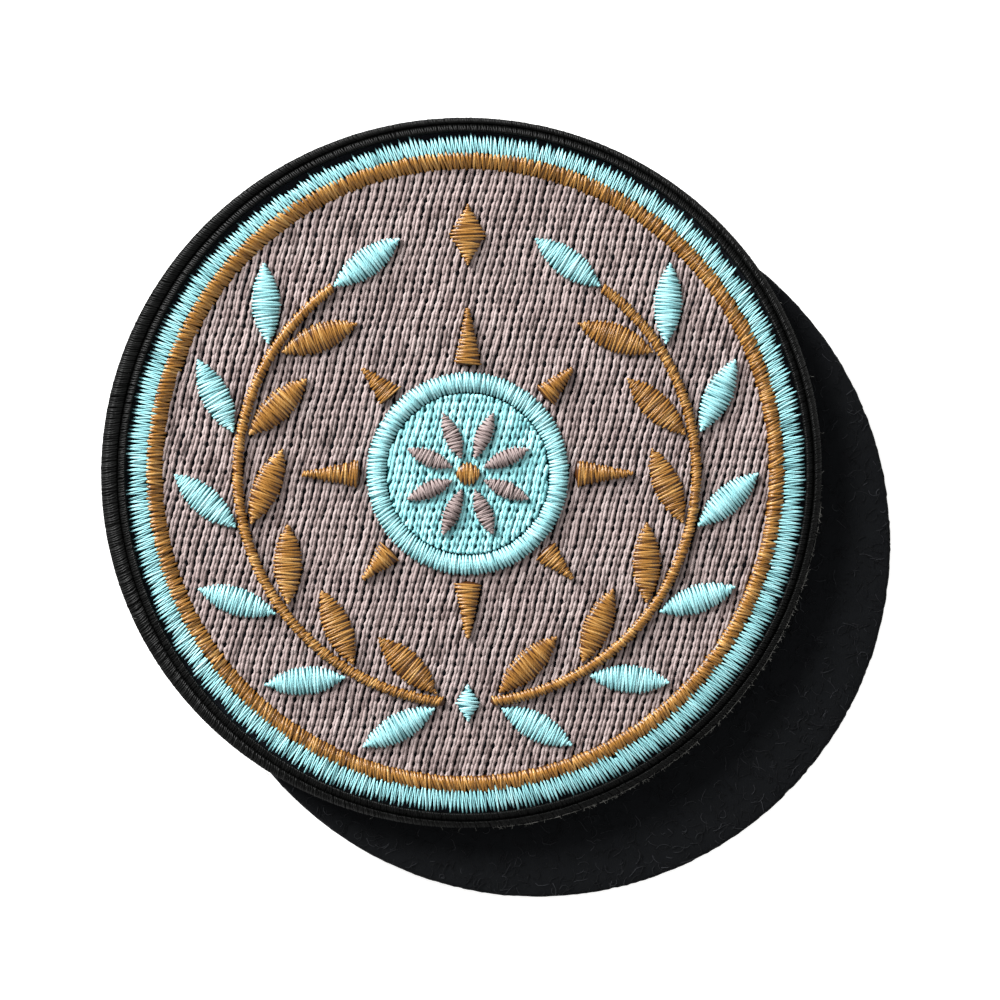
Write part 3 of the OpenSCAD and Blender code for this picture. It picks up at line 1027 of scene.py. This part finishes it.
def make_hooks():
    """Rows of small hooks under their tape; neighbouring rows face opposite ways."""
    rng = np.random.default_rng(51)
    reach = math.ceil(HOOK_R / HOOK_STEP)
    span = np.arange(-reach, reach + 1)
    rows, places = (g.ravel() for g in np.meshgrid(span, span, indexing="ij"))
    foot = np.stack([(places + 0.5 * (rows % 2)) * HOOK_STEP, rows * HOOK_ROW_STEP], axis=-1)
    keep = np.linalg.norm(foot, axis=1) < HOOK_R - 0.6
    foot = foot[keep] + PATCH
    way = np.where(rows[keep] % 2 == 0, 1.0, -1.0)
    n = len(foot)
    x = foot[:, None, 0] + way[:, None] * HOOK_OUT
    y = np.broadcast_to(foot[:, None, 1], x.shape) + rng.normal(0, 0.03, n)[:, None]
    path = raised(np.stack([x, y], axis=-1), TAPE_Z - HOOK_DOWN * (TAPE_Z - HOOK_Z))
    side = np.array([0.0, 1.0, 0.0])
    yarn = Yarn()
    yarn.add(path, 0.1, 0.055, rng.random(n), sides=4, side=side)
    yarn.piece("hooks", HOOKS, "hooks", ("hook_field",))


def make_edge_fuzz():
    """Stray hairs along the border, and the thin pale thread between it and the bare pile, whose paleness
    is painted highlight of the border's outer edge.
    """
    rng = np.random.default_rng(61)
    yarn = Yarn()
    n = HAIR_COUNT
    angle = np.where(rng.random(n) < 0.6, rng.uniform(LOOSE_FROM, 0.0, n), rng.uniform(0, FULL_TURN, n))
    steps = 4
    curl = rng.normal(0, 1.0, n)[:, None] + np.cumsum(rng.normal(0, 0.5, (n, steps)), axis=1)
    length = rng.uniform(0.3, 0.9, n)
    step = (length / steps)[:, None, None] * compass(angle[:, None] + curl)
    rim = BORDER_R - 0.1 + border_reach(angle)
    root = PATCH + rim[:, None] * compass(angle)
    flat = root[:, None] + np.cumsum(step, axis=1)
    over_pile = np.linalg.norm(root, axis=1) < LOOP_R - 1
    level = np.where(over_pile, rng.uniform(*LOW_HAIRS, n), rng.uniform(*HIGH_HAIRS, n))
    z = level[:, None] + np.linspace(0, 0.1, steps)
    tint = rng.random(n) * np.where(over_pile, 0.8, 0.0)
    yarn.add(raised(flat, z), 0.022, 0.02, tint, sides=4)
    add_loose_thread(yarn, rng)
    add_ticks(yarn, rng)
    yarn.piece("edge_fuzz_and_highlight", FUZZ_AND_HIGHLIGHT, "border_thread")


def add_loose_thread(yarn, rng):
    """Thin pale thread beside the border's lower right edge; its paleness is painted highlight of the black
    roll's outer stitch edges.
    """
    start = np.linspace(LOOSE_FROM, LOOSE_TO, 64)[:, None]
    n = len(start)
    sweep = start + np.linspace(0, 0.02, 4) * rng.uniform(0.6, 1.15, (n, 1))
    waver = 0.03 * np.sin(sweep * 31) + rng.normal(0, 0.02, (n, 1))
    radius = BORDER_R + 0.1 + border_reach(sweep) + waver
    line = raised(PATCH + radius[..., None] * compass(sweep), LOOSE_LEVEL + 0.05 * np.sin(sweep * 23))
    yarn.add(line, rng.uniform(0.015, 0.04, (n, 1)), 0.03, rng.random(n), sides=4)


def add_ticks(yarn, rng):
    """Ticks of fuzz across the pale thread, pale as it is: painted highlight too."""
    n = TICK_COUNT
    angle = rng.uniform(LOOSE_FROM, LOOSE_TO, n)
    radius = BORDER_R + 0.08 + border_reach(angle)
    foot = PATCH + radius[:, None] * compass(angle)
    heading = angle + rng.normal(0, 0.8, n) + math.pi * (rng.random(n) < 0.4)
    reach = rng.uniform(0.1, 0.5, n)[:, None] * np.linspace(-0.3, 1, 3)
    flat = foot[:, None] + reach[..., None] * compass(heading)[:, None]
    z = rng.uniform(LOOSE_LEVEL - 0.1, LOOSE_LEVEL + 0.1, n)[:, None]
    yarn.add(raised(flat, z), 0.018, 0.018, rng.random(n), sides=4)


def make_stage():
    """Plain pale floor, soft studio light from the upper left, and the camera nearly straight above."""
    bpy.ops.mesh.primitive_plane_add(size=FLOOR_SIZE)
    floor = bpy.context.object
    floor.name = "floor"
    paper, _, shader = new_material("floor", 0.9)
    shader.inputs["Base Color"].default_value = (0.8, 0.8, 0.79, 1)
    shader.inputs["Emission Color"].default_value = (1.0, 1.0, 0.99, 1)
    shader.inputs["Emission Strength"].default_value = FLOOR_GLOW
    floor.data.materials.append(paper)
    world = bpy.data.worlds.new("soft_room")
    bpy.context.scene.world = world
    world.use_nodes = True
    sky = world.node_tree.nodes["Background"]
    sky.inputs[0].default_value = (1.0, 1.0, 1.0, 1)
    sky.inputs[1].default_value = ROOM_LIGHT
    add_light("key", **KEY_LIGHT)
    add_light("fill", **FILL_LIGHT)
    add_camera()
    bpy.context.scene.view_settings.view_transform = "Standard"


def add_light(name, place, size, power):
    lamp = bpy.data.lights.new(name, "AREA")
    lamp.size = size
    lamp.energy = power
    made = put(name, lamp)
    made.location = place
    made.rotation_euler = (-Vector(place)).to_track_quat("-Z", "Y").to_euler()


def add_camera():
    camera = bpy.data.cameras.new("camera")
    camera.lens = LENS
    camera.sensor_width = 36
    camera.clip_start = 0.01
    made = put("camera", camera)
    tilt = math.radians(VIEW_TILT)
    side = Vector((*VIEW_FROM, 0)).normalized()
    back = side * math.sin(tilt) + Vector((0, 0, 1)) * math.cos(tilt)
    right = Vector((0, 1, 0)).cross(back).normalized()
    rotation = Matrix((right, back.cross(right), back)).transposed().to_4x4()
    made.matrix_world = Matrix.Translation(Vector(VIEW_CENTRE) * MM + back * CAMERA_DISTANCE) @ rotation
    bpy.context.scene.camera = made


emblem = emblem_shapes()
make_emblem(emblem)
make_fill(emblem)
make_rings()
make_border()
ground, tape, twill = make_cloths()
make_pile()
make_hooks()
make_edge_fuzz()
make_stage()
